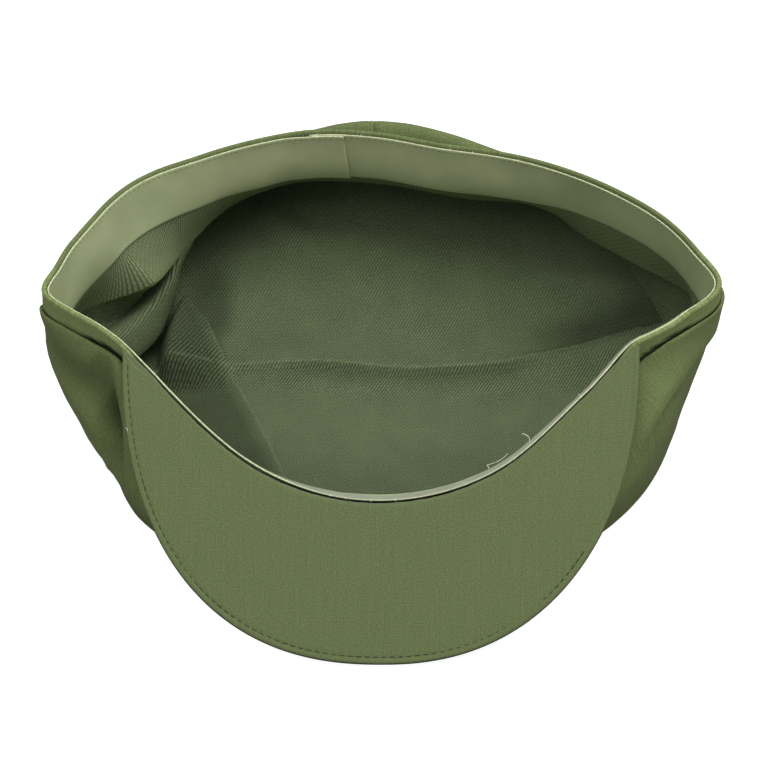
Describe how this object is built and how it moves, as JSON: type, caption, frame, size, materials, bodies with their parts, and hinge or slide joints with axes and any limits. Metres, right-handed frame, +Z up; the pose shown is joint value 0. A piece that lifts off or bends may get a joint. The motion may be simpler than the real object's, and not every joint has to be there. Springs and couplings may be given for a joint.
{
  "type": "mao cap",
  "caption": "Soft olive cloth cap with a stiff curved peak, head band and inner sweatband tape, lying upside down on its crown with the opening up.",
  "frame": {"origin": "middle of the part's box, on the surface that the crown lies on", "axes": "+Z up out of the opening, -Y towards the tip of the peak, +X to the right of someone facing the peak"},
  "size_m": [0.242, 0.2272, 0.0724],
  "materials": {
    "crown_cloth": "cotton twill, matt, ribbed inside and smooth outside",
    "band_cloth": "two layers of cotton twill, matt",
    "sweatband_tape": "coated cotton tape, smooth with a low sheen",
    "peak_cloth": "plain cotton cloth stretched over a stiff core, stitched near its edge"
  },
  "bodies": {
    "root": {"crown_top": "crown_cloth", "crown_side_front": "crown_cloth", "crown_side_back_left": "crown_cloth", "crown_side_back_right": "crown_cloth", "band": "band_cloth", "sweatband": "sweatband_tape", "peak": "peak_cloth"}
  },
  "joints": []
}
